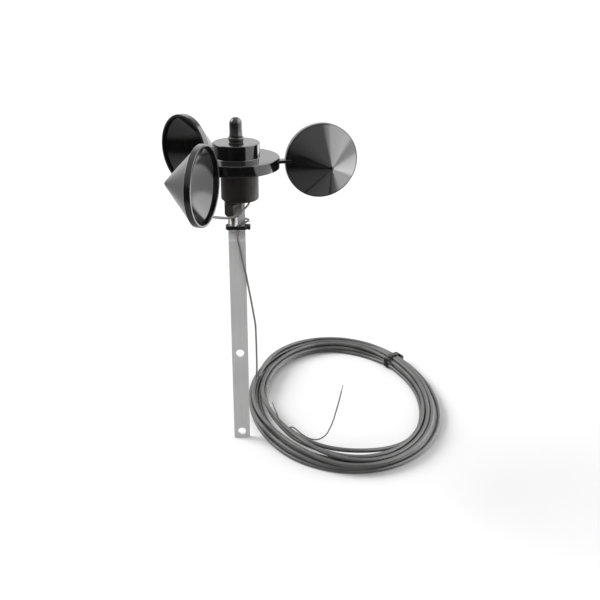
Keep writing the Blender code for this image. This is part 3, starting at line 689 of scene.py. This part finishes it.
def make_stud():
    """A threaded stud: a helical ridge round a core, made as one turned sweep.

    The depth of the thread is multiplied by the crest's factor and cut off, which leaves flat crests.
    """
    low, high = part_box("flange_stud")
    centre = (low + high) / 2
    radius = (high.x - low.x) / 2
    pitch = 0.8 * MM
    depth = 0.42 * MM
    crest = 1.15
    segments = 48
    rows = 12
    turns = int((high.z - low.z) / pitch)
    bm = bmesh.new()
    rings = []
    total_rows = turns * rows
    for row in range(total_rows + 1):
        z = low.z + (high.z - low.z) * row / total_rows
        taper = min(1.0, row / rows, (total_rows - row) / rows)
        ring = []
        for k in range(segments):
            phase = (z - low.z) / pitch - k / segments
            wave = abs((phase % 1.0) * 2 - 1)
            r = radius - depth * (1 - taper) - depth * taper * (1 - min(1.0, wave * crest))
            angle = 2 * math.pi * k / segments
            ring.append(bm.verts.new((centre.x + r * math.cos(angle), centre.y + r * math.sin(angle), z)))
        rings.append(ring)
    for lower, upper in zip(rings, rings[1:]):
        for k in range(segments):
            after = (k + 1) % segments
            bm.faces.new((lower[k], lower[after], upper[after], upper[k]))
    bm.faces.new(list(reversed(rings[0])))
    bm.faces.new(rings[-1])
    mesh = bpy.data.meshes.new("stud_fine")
    bm.to_mesh(mesh)
    bm.free()
    shade_smooth(mesh, 60.0)
    new_object("stud_thread", mesh, "base", "stainless", ["flange_stud"])


def make_nut():
    """A lock nut: chamfered hexagon with a rounded collar below, bored through."""
    low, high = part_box("flange_nut")
    centre = (low + high) / 2
    corner = (high.y - low.y) / 2
    flat = corner * math.cos(math.pi / 6)
    collar_height = 1.2 * MM
    hex_low = low.z + collar_height
    hexagon = bmesh.new()
    bmesh.ops.create_cone(
        hexagon,
        cap_ends=True,
        segments=6,
        radius1=corner,
        radius2=corner,
        depth=high.z - hex_low,
        matrix=Matrix.Translation((0, 0, (high.z + hex_low) / 2)),
    )
    mesh = bpy.data.meshes.new("hexagon")
    hexagon.to_mesh(mesh)
    hexagon.free()
    face = flat + 0.1 * MM
    wide = corner + 0.6 * MM
    chamfer = 0.9 * MM
    past = 0.2 * MM
    crown = [
        (0.0, high.z + past),
        (face, high.z + past),
        (wide, high.z - chamfer),
        (wide, hex_low + chamfer),
        (face, hex_low - past),
        (0.0, hex_low - past),
    ]
    collar_radius = 4.0 * MM
    collar_top = hex_low + 0.4 * MM
    collar = [(0.0, collar_top), (collar_radius, collar_top), (collar_radius, low.z), (0.0, low.z)]
    collar = rounded(collar, [0.0, 0.0, 0.5 * MM, 0.0])
    bore_radius = 2.35 * MM
    above, below = high.z + 1 * MM, low.z - 1 * MM
    bore = [(0.0, above), (bore_radius, above), (bore_radius, below), (0.0, below)]
    tools = [
        ("INTERSECT", revolved_mesh("crown", crown, 72)),
        ("UNION", revolved_mesh("collar", collar, 48)),
        ("DIFFERENCE", revolved_mesh("bore", bore, 36)),
    ]
    nut = combined(mesh, tools, "nut_fine")
    nut.transform(Matrix.Translation((centre.x, centre.y, 0.0)))
    new_object("lock_nut", nut, "base", "black_steel", ["flange_nut"])


# ---------------------------------------------------------------- cable


def smoothstep(t):
    """Rises from 0 to 1 with level ends, as t does."""
    t = np.clip(t, 0.0, 1.0)
    return t * t * (3 - 2 * t)


def near(angle, centre, width):
    """1 at an angle round the coil, falling smoothly to 0 either side; centre and width in degrees."""
    away = np.mod(angle - math.radians(centre) + math.pi, 2 * math.pi) - math.pi
    return np.exp(-((away / math.radians(width)) ** 2))


def coil_aim():
    """Where each strand would like to lie: (angle, offset across the coil, height).

    Three layers of three turns, wound from the top, wander a little. The bundle is squeezed at its
    tie, spreads at the right and is piled up at the front left, and its section slowly turns. The
    free end leaves it inwards and then upwards.
    """
    rng = np.random.default_rng(COIL_SEED)
    turn = np.arange(round(COIL_TURNS * POINTS_PER_TURN) + 1) / POINTS_PER_TURN
    angle = COIL_START - 2 * math.pi * turn
    span = TURNS_PER_LAYER + LAYER_CHANGE
    layer = np.minimum(np.floor(turn / span), LAYERS - 1)
    inside = turn - layer * span
    drift = TURNS_PER_LAYER * STRAND_PITCH / 2 - STRAND_PITCH * np.minimum(inside, TURNS_PER_LAYER)
    across = np.where(layer % 2 == 0, drift, -drift)
    sinking = np.where(layer < LAYERS - 1, smoothstep((inside - TURNS_PER_LAYER) / LAYER_CHANGE), 0.0)
    height = ((LAYERS - 1) / 2 - layer - sinking) * LAYER_PITCH
    for cycles in (0.41, 0.77, 1.29, 1.91):
        across += WANDER * rng.uniform(0.5, 1.0) * np.sin(2 * math.pi * (cycles * turn + rng.uniform()))
        height += WANDER * rng.uniform(0.3, 0.6) * np.sin(2 * math.pi * (1.1 * cycles * turn + rng.uniform()))

    # The section's width and height, as factors that change round the coil
    piled = near(angle, *PILED)
    spread = near(angle, *SPREAD)
    tied = near(angle, *TIED)
    across = across * (1 + 0.4 * spread - 0.3 * tied + 0.25 * piled) - 0.8 * MM * tied
    height = height * (1 - 0.15 * spread + piled)

    # The section's lean, as an angle that changes round the coil, and the height of its middle
    lean = 0.35 * np.sin(angle + 0.6) + 0.25 * np.sin(2 * angle + 2.0) + 0.75 * piled
    middle = LAYER_PITCH * (LAYERS - 1) / 2 + CABLE_RADIUS + 1.4 * MM * piled
    turned_across = across * np.cos(lean) - height * np.sin(lean) - 1.0 * MM * piled
    height = across * np.sin(lean) + height * np.cos(lean) + middle
    across = turned_across

    for middle_turn, width, shift, lift in STRAYS:
        share = np.exp(-(((turn - middle_turn) / width) ** 2))
        across += shift * share
        height += lift * share

    # The last stretch leaves the bundle, and both ends are brought to their places
    leaving = (turn - turn[-1] + END_TURNS) / END_TURNS
    across -= LEAVING_SHIFT * smoothstep(leaving * 2.2)
    height += LEAVING_LIFT * smoothstep((leaving - 0.12) / 0.45)
    at_start = 1 - smoothstep(turn / START_EASE)
    at_end = 1 - smoothstep((turn[-1] - turn) / END_EASE)
    for share, place in ((at_start, START_PLACE), (at_end, END_PLACE)):
        across += (place[0] - across) * share
        height += (place[1] - height) * share
    return angle, across, height


def settle_coil():
    """Lets strands nearer than a cable's width push each other apart, above the floor.

    Returns the cable's path, and the angle and the offset across the coil along it.
    """
    angle, wanted_across, wanted_height = coil_aim()
    floor = CABLE_RADIUS + TIE_LIFT * near(angle, TIE_ANGLE, 9.0)
    across = wanted_across.copy()
    height = np.maximum(wanted_height, floor)
    width = 2 * CABLE_RADIUS * CLEARANCE
    whole_turns = range(1, math.ceil(COIL_TURNS))
    lags = [turns * POINTS_PER_TURN + slide for turns in whole_turns for slide in (-2, 0, 2)]
    for _ in range(SETTLING_STEPS):
        across += PULL * (wanted_across - across)
        height += PULL * (wanted_height - height)
        for lag in lags:
            step_across = across[lag:] - across[:-lag]
            step_height = height[lag:] - height[:-lag]
            distance = np.hypot(step_across, step_height) + 1e-9
            push = np.maximum(width - distance, 0.0) * PUSH / distance
            across[lag:] += push * step_across
            height[lag:] += push * step_height
            across[:-lag] -= push * step_across
            height[:-lag] -= push * step_height
        for values in (across, height, across, height):
            values[1:-1] += EASE * ((values[:-2] + values[2:]) / 2 - values[1:-1])
        height = np.maximum(height, floor)
        across[:HELD_POINTS], height[:HELD_POINTS] = START_PLACE
        across[-HELD_POINTS:], height[-HELD_POINTS:] = END_PLACE
    x = COIL_CENTRE.x + (COIL_HALF[0] + across) * np.cos(angle)
    y = COIL_CENTRE.y + (COIL_HALF[1] + across) * np.sin(angle)
    return np.stack([x, y, height], 1), angle, across


def make_cable():
    """The coiled cable, and the tie that fits round the settled bundle; returns the cable's path."""
    path, angle, across = settle_coil()
    mesh = tube_mesh("cable_fine", path, CABLE_RADIUS, 16)
    new_object("cable_coil", mesh, "base", "cable_jacket", ["coiled_cable"])
    at_tie = near(angle, TIE_ANGLE, 2.0) > 0.5
    section = np.stack([across[at_tie], path[at_tie, 2]], 1)
    make_coil_tie(section.min(0) - CABLE_RADIUS, section.max(0) + CABLE_RADIUS)
    return path


def joint_end(path):
    """Where the cable's end at the joint lies, and its direction out of the coil."""
    start = Vector(path[0])
    return start, (start - Vector(path[3])).normalized()


def make_sleeve_and_conductors(path):
    """Shrunk sleeving over the joint with the thin lead, and the two cores at the cable's free end.

    The sleeve's lengths and the cores' points are in millimetres; its widths are shares of its radius.
    """
    start, heading = joint_end(path)
    lengths = (9.0, 8.6, 8.0, 7.0, 6.0, 4.5, 3.0, 2.0, 1.2, 0.7, 0.3)
    widths = (0.5, 0.6, 0.72, 0.86, 0.95, 1.0, 0.97, 1.0, 0.98, 0.94, 0.88)
    centres = [start + heading * length * MM for length in lengths]
    mesh = tube_mesh("sleeve_fine", centres, [SLEEVE_RADIUS * width for width in widths], 24)
    new_object("joint_sleeve", mesh, "base", "heat_shrink", ["splice_sleeve"])
    end = Vector(path[-1])
    heading = (end - Vector(path[-4])).normalized()
    side = Vector((-heading.y, heading.x, 0.0)) * 0.6 * MM
    tip = end - heading * 0.2 * MM
    long_run = [
        (28.6, -8.0, 10.0), (33.0, -12.2, 8.0), (37.6, -14.4, 6.2), (42.2, -14.2, 5.4), (46.7, -11.6, 6.4),
        (49.3, -8.6, 8.6), (51.6, -5.6, 12.0), (53.9, -2.0, 17.3), (55.8, 1.0, 22.0), (57.2, 3.5, 26.1),
        (58.2, 5.0, 29.4),
    ]
    short_run = [(20.4, -4.4, 14.0), (19.4, -3.0, 16.4), (18.0, -1.0, 19.2), (16.8, 1.0, 22.1)]
    for name, across, run in (("long", -side, long_run), ("short", side, short_run)):
        points = [tip + across, tip + across + heading * 1.6 * MM]
        points += [Vector(point) * MM for point in run]
        line = smooth_path(points, 8)
        bare = 8
        widths = [CONDUCTOR_RADIUS] * (len(line) - bare) + [BARE_RADIUS] * bare
        mesh = tube_mesh(f"core_{name}_fine", line, widths, 12)
        new_object(f"core_{name}", mesh, "base", "tinned_wire", [f"conductor_{name}"])


# ---------------------------------------------------------------- cable ties


def tie_mesh(name, low, high, corner, width, thickness, head):
    """A strap round a rectangle in XY, with its head at +X and the cut tail standing out of the head.

    The head's three sizes are its reach from the strap, its length along the strap, and its width.
    """
    loop = rounded([low, (high[0], low[1]), high, (low[0], high[1])], corner, 8, loop=True)
    strap = band_mesh(name, loop, width, thickness, thickness * 0.3)
    reach, tall, deep = head
    middle = (low[1] + high[1]) / 2
    head_low, head_high = middle - tall / 2, middle + tall / 2
    inner = high[0] - thickness * 0.4
    outer = high[0] + reach
    tail_inner = high[0] + reach * 0.3
    tail_outer = tail_inner + thickness
    half = width / 2
    block = block_mesh("head", (inner, head_low, -deep / 2), (outer, head_high, deep / 2), 0.35 * MM)
    tail_low, tail_high = head_low - 1.3 * MM, head_high + 0.1 * MM
    tail = block_mesh("tail", (tail_inner, tail_low, -half), (tail_outer, tail_high, half), 0.15 * MM)
    slot_low, slot_high = head_high - 0.5 * MM, head_high + 0.5 * MM
    slot_outer, slot_half = high[0] + reach * 0.85, width * 0.3
    slot = block_mesh("slot", (tail_outer, slot_low, -slot_half), (slot_outer, slot_high, slot_half), 0.0)
    return combined(strap, [("UNION", block), ("UNION", tail), ("DIFFERENCE", slot)], name)


def make_bracket_tie():
    """The tie that holds the thin lead to the bracket's front."""
    low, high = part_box("bracket_cable_tie")
    thickness = 0.9 * MM
    inset = thickness / 2
    front = 0.6 * MM
    right = 4.45 * MM
    mesh = tie_mesh(
        "bracket_tie_fine",
        (low.x + inset, front),
        (right, high.y - inset),
        corner=1.2 * MM,
        width=1.9 * MM,
        thickness=thickness,
        head=(2.0 * MM, 3.0 * MM, 2.5 * MM),
    )
    mesh.transform(Matrix.Translation((0.0, 0.0, (low.z + high.z) / 2)))
    new_object("bracket_tie", mesh, "base", "tie_nylon", ["bracket_cable_tie"])


def make_coil_tie(low, high):
    """The strap fits the bundle's section: (offset across the coil, height) from low to high."""
    thickness = 0.7 * MM
    clear = thickness / 2 + 0.05 * MM
    bottom = thickness / 2 + 0.02 * MM
    mesh = tie_mesh(
        "coil_tie_fine",
        (low[0] - clear, bottom),
        (high[0] + clear, high[1] + clear),
        corner=2.2 * MM,
        width=3.3 * MM,
        thickness=thickness,
        head=(2.3 * MM, 3.6 * MM, 4.4 * MM),
    )
    angle = math.radians(TIE_ANGLE)
    centre = COIL_CENTRE + Vector((COIL_HALF[0] * math.cos(angle), COIL_HALF[1] * math.sin(angle), 0.0))
    outward = Vector((COIL_HALF[1] * math.cos(angle), COIL_HALF[0] * math.sin(angle), 0.0)).normalized()
    up = Vector((0.0, 0.0, 1.0))
    turn = Matrix((outward, up, outward.cross(up))).transposed()
    mesh.transform(Matrix.Translation(centre) @ turn.to_4x4())
    new_object("coil_tie", mesh, "base", "tie_nylon", ["coil_cable_tie"])


# ---------------------------------------------------------------- thin lead


def make_lead(cable_path):
    """The thin lead: out of the housing, round the neck, under the tie and down to the coil.

    Its points are in millimetres.
    """
    neck = [(5.9, 3.3, height) for height in (146.7, 145.5, 144.2, 143.2)]
    loop = [
        (6.1, 1.8, 141.8), (5.7, -1.8, 141.2), (4.6, -5.2, 140.7), (2.6, -8.3, 139.8),
        (-1.0, -9.7, 137.2), (-5.1, -8.4, 135.7), (-10.3, -4.0, 134.6), (-13.0, 0.5, 133.6),
        (-11.5, 5.2, 132.2), (-6.0, 7.2, 131.0), (0.5, 6.9, 130.8), (4.8, 5.4, 130.8),
        (5.4, 2.8, 130.6), (2.8, 1.9, 129.8), (0.9, 2.1, 128.6), (0.1, 2.2, 126.6),
        (-0.3, 1.2, 124.3), (-0.5, -0.8, 122.5), (-0.2, -1.8, 120.6),
    ]
    run = [
        (0.6, -1.9, 117.0), (2.0, -2.0, 109.4), (3.5, -1.9, 102.0), (4.9, -1.5, 93.1), (6.0, 0.0, 86.0),
        (7.1, 3.0, 77.5), (8.2, 8.0, 67.9), (8.6, 16.0, 54.7), (8.9, 26.0, 42.0), (9.2, 37.0, 28.6),
        (9.2, 44.5, 19.0),
    ]
    start, heading = joint_end(cable_path)
    points = [tuple(MM * value for value in point) for point in neck + loop + run]
    points += [tuple(start + heading * 12 * MM), tuple(start + heading * 9.4 * MM)]
    mesh = tube_mesh("lead_fine", smooth_path(points, 10), LEAD_RADIUS, 12)
    new_object("thin_lead", mesh, "base", "lead_jacket", ["sensor_lead"])


def paint():
    """Gives each piece its slot's material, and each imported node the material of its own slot."""
    for row in frame["record"]["subparts"]:
        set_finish(nodes[row["node"]], row["material_slot"])
    made = {slot: make_material(slot) for slot in [*MOTTLED, *TURNED, *OWN_MATERIALS]}
    for obj in bpy.data.objects:
        if obj.type == "MESH":
            obj.data.materials.clear()
            obj.data.materials.append(made[obj["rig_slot"]])


# ---------------------------------------------------------------- floor, light, camera


def studio(tree, direction):
    """The radiance that a glossy surface sees along a direction."""

    def compute(operation, *values):
        node = tree.nodes.new("ShaderNodeMath")
        node.operation = operation
        for socket, value in zip(node.inputs, values):
            if isinstance(value, float):
                socket.default_value = value
            else:
                tree.links.new(value, socket)
        return node.outputs["Value"]

    split = tree.nodes.new("ShaderNodeSeparateXYZ")
    tree.links.new(direction, split.inputs[0])
    away = compute("ABSOLUTE", compute("SUBTRACT", split.outputs["Z"], DARK_LEVEL))
    total = ranged(tree, away, 0.0, ROOM, *DARK_EDGES)
    total.node.interpolation_type = "SMOOTHSTEP"
    for towards, edge, full, amount in PANELS:
        dot = tree.nodes.new("ShaderNodeVectorMath")
        dot.operation = "DOT_PRODUCT"
        dot.inputs[1].default_value = Vector(towards).normalized()
        tree.links.new(direction, dot.inputs[0])
        panel = ranged(tree, dot.outputs["Value"], 0.0, amount, edge, full)
        panel.node.interpolation_type = "SMOOTHSTEP"
        total = compute("ADD", total, panel)
    return total


def make_floor():
    """Pale paper. In reflections it gives way to the studio, as if the object hung clear of the floor."""
    bpy.ops.mesh.primitive_plane_add(size=FLOOR_SIZE)
    floor = bpy.context.active_object
    floor.name = "floor"
    material, tree, shader = new_material("pale_floor", FLOOR_COLOUR, 0.9)
    shader.inputs["Specular IOR Level"].default_value = 0.1
    geometry = tree.nodes.new("ShaderNodeNewGeometry")
    outward = tree.nodes.new("ShaderNodeVectorMath")
    outward.operation = "SCALE"
    outward.inputs["Scale"].default_value = -1.0
    tree.links.new(geometry.outputs["Incoming"], outward.inputs[0])
    emission = tree.nodes.new("ShaderNodeEmission")
    tree.links.new(studio(tree, outward.outputs["Vector"]), emission.inputs["Strength"])
    path = tree.nodes.new("ShaderNodeLightPath")
    mix = tree.nodes.new("ShaderNodeMixShader")
    tree.links.new(path.outputs["Is Glossy Ray"], mix.inputs[0])
    tree.links.new(shader.outputs["BSDF"], mix.inputs[1])
    tree.links.new(emission.outputs["Emission"], mix.inputs[2])
    tree.links.new(mix.outputs["Shader"], tree.nodes["Material Output"].inputs["Surface"])
    floor.data.materials.append(material)


def make_world():
    """Even soft light, the studio's panels in reflections only, and a plain white backdrop for the camera."""
    world = bpy.data.worlds.new("studio")
    bpy.context.scene.world = world
    world.use_nodes = True
    world.cycles.sampling_method = "NONE"
    tree = world.node_tree
    coords = tree.nodes.new("ShaderNodeTexCoord")
    path = tree.nodes.new("ShaderNodeLightPath")
    choice = tree.nodes.new("ShaderNodeMix")
    choice.inputs["A"].default_value = AMBIENT
    tree.links.new(path.outputs["Is Glossy Ray"], choice.inputs["Factor"])
    tree.links.new(studio(tree, coords.outputs["Generated"]), choice.inputs["B"])
    seen = tree.nodes.new("ShaderNodeMix")
    seen.inputs["B"].default_value = BACKDROP
    tree.links.new(path.outputs["Is Camera Ray"], seen.inputs["Factor"])
    tree.links.new(choice.outputs["Result"], seen.inputs["A"])
    tree.links.new(seen.outputs["Result"], tree.nodes["Background"].inputs["Strength"])
    tree.nodes["Background"].inputs["Color"].default_value = (1, 1, 1, 1)


def make_lights():
    """A broad soft key from the upper left and a little behind, so shadows fall to the right and forward."""
    data = bpy.data.lights.new("key", "SUN")
    data.energy = KEY_STRENGTH
    data.angle = math.radians(KEY_WIDTH)
    key = bpy.data.objects.new("key", data)
    bpy.context.scene.collection.objects.link(key)
    key.rotation_euler = Vector(KEY_FROM).to_track_quat("Z", "Y").to_euler()


def make_camera():
    """50 mm lens, from the front and a little above the rotor, looking down by 23 degrees."""
    data = bpy.data.cameras.new("camera")
    data.sensor_width = CAMERA_SENSOR
    data.lens = CAMERA_LENS
    camera = bpy.data.objects.new("camera", data)
    bpy.context.scene.collection.objects.link(camera)
    yaw, pitch, roll = (math.radians(turn) for turn in CAMERA_TURNS)
    camera.location = CAMERA_PLACE
    turn = Matrix.Rotation(-yaw, 4, "Z") @ Matrix.Rotation(math.pi / 2 - pitch, 4, "X")
    camera.rotation_euler = (turn @ Matrix.Rotation(-roll, 4, "Z")).to_euler()
    bpy.context.scene.camera = camera


def main():
    bpy.context.scene.view_settings.view_transform = "Standard"
    make_hub()
    make_cups()
    make_cap()
    make_collar()
    make_stud()
    make_nut()
    path = make_cable()
    make_sleeve_and_conductors(path)
    make_bracket_tie()
    make_lead(path)
    paint()
    make_floor()
    make_world()
    make_lights()
    make_camera()


main()
